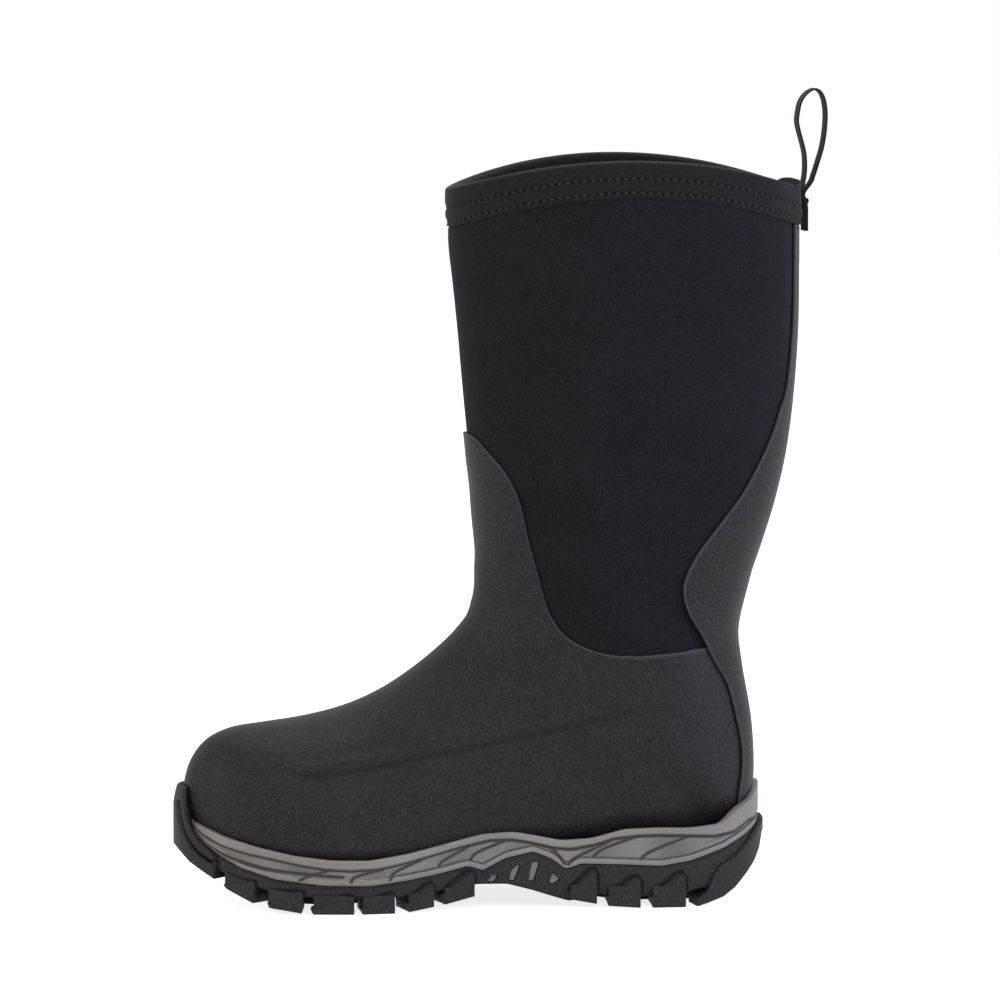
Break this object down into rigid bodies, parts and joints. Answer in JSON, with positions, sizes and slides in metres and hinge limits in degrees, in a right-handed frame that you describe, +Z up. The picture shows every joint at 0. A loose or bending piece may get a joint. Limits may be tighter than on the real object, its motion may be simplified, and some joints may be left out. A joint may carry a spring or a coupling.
{
  "type": "child's pull-on winter boot",
  "caption": "Right-foot pull-on winter boot for a child: rubber and neoprene upper on a lugged rubber sole, with a bound collar and a webbing pull loop.",
  "frame": {"origin": "on the ground, below the middle of the boot's length and width", "axes": "+Z up, -X towards the toe, -Y towards the inner side of the foot"},
  "size_m": [0.2621, 0.095, 0.3246],
  "materials": {
    "sole_rubber": "matte moulded rubber",
    "midsole_foam": "matte moulded foam rubber",
    "overlay_rubber": "satin moulded rubber",
    "neoprene": "matte jersey-faced neoprene",
    "lining": "brushed fleece",
    "binding": "matte stretch fabric",
    "webbing": "woven webbing",
    "thread": "twisted sewing thread",
    "fibreboard": "matte fibreboard",
    "shank_steel": "plain spring steel",
    "stiffener": "matte thermoplastic sheet",
    "underlay_felt": "needled felt",
    "footbed_foam": "matte open-cell foam"
  },
  "bodies": {
    "boot": {"outsole": "sole_rubber", "midsole": "midsole_foam", "shank": "shank_steel", "insole_board": "fibreboard", "vamp_neoprene": "neoprene", "shaft_neoprene": "neoprene", "vamp_lining": "lining", "shaft_lining": "lining", "lining_seam_tape": "binding", "toe_puff": "stiffener", "heel_counter": "stiffener", "vamp_overlay": "overlay_rubber", "heel_overlay": "overlay_rubber", "thermal_underlay": "underlay_felt", "collar_binding": "binding", "binding_stitch_upper": "thread", "binding_stitch_lower": "thread", "loop_tab": "webbing", "loop_bartack": "thread"},
    "loop": {"pull_loop": "webbing"},
    "footbed": {"footbed_foam": "footbed_foam", "footbed_cover": "lining"}
  },
  "joints": [
    {"name": "loop_fold", "type": "hinge", "parent": "boot", "child": "loop", "pos_m": [0.1216, 0, 0.2853], "axis": [0, 1, 0], "range_deg": [-70, 90], "stiffness_Nm_per_rad": 0.006},
    {"name": "footbed_lift", "type": "hinge", "parent": "boot", "child": "footbed", "pos_m": [-0.1123, 0, 0.0361], "axis": [0, -1, 0], "range_deg": [0, 12]}
  ]
}
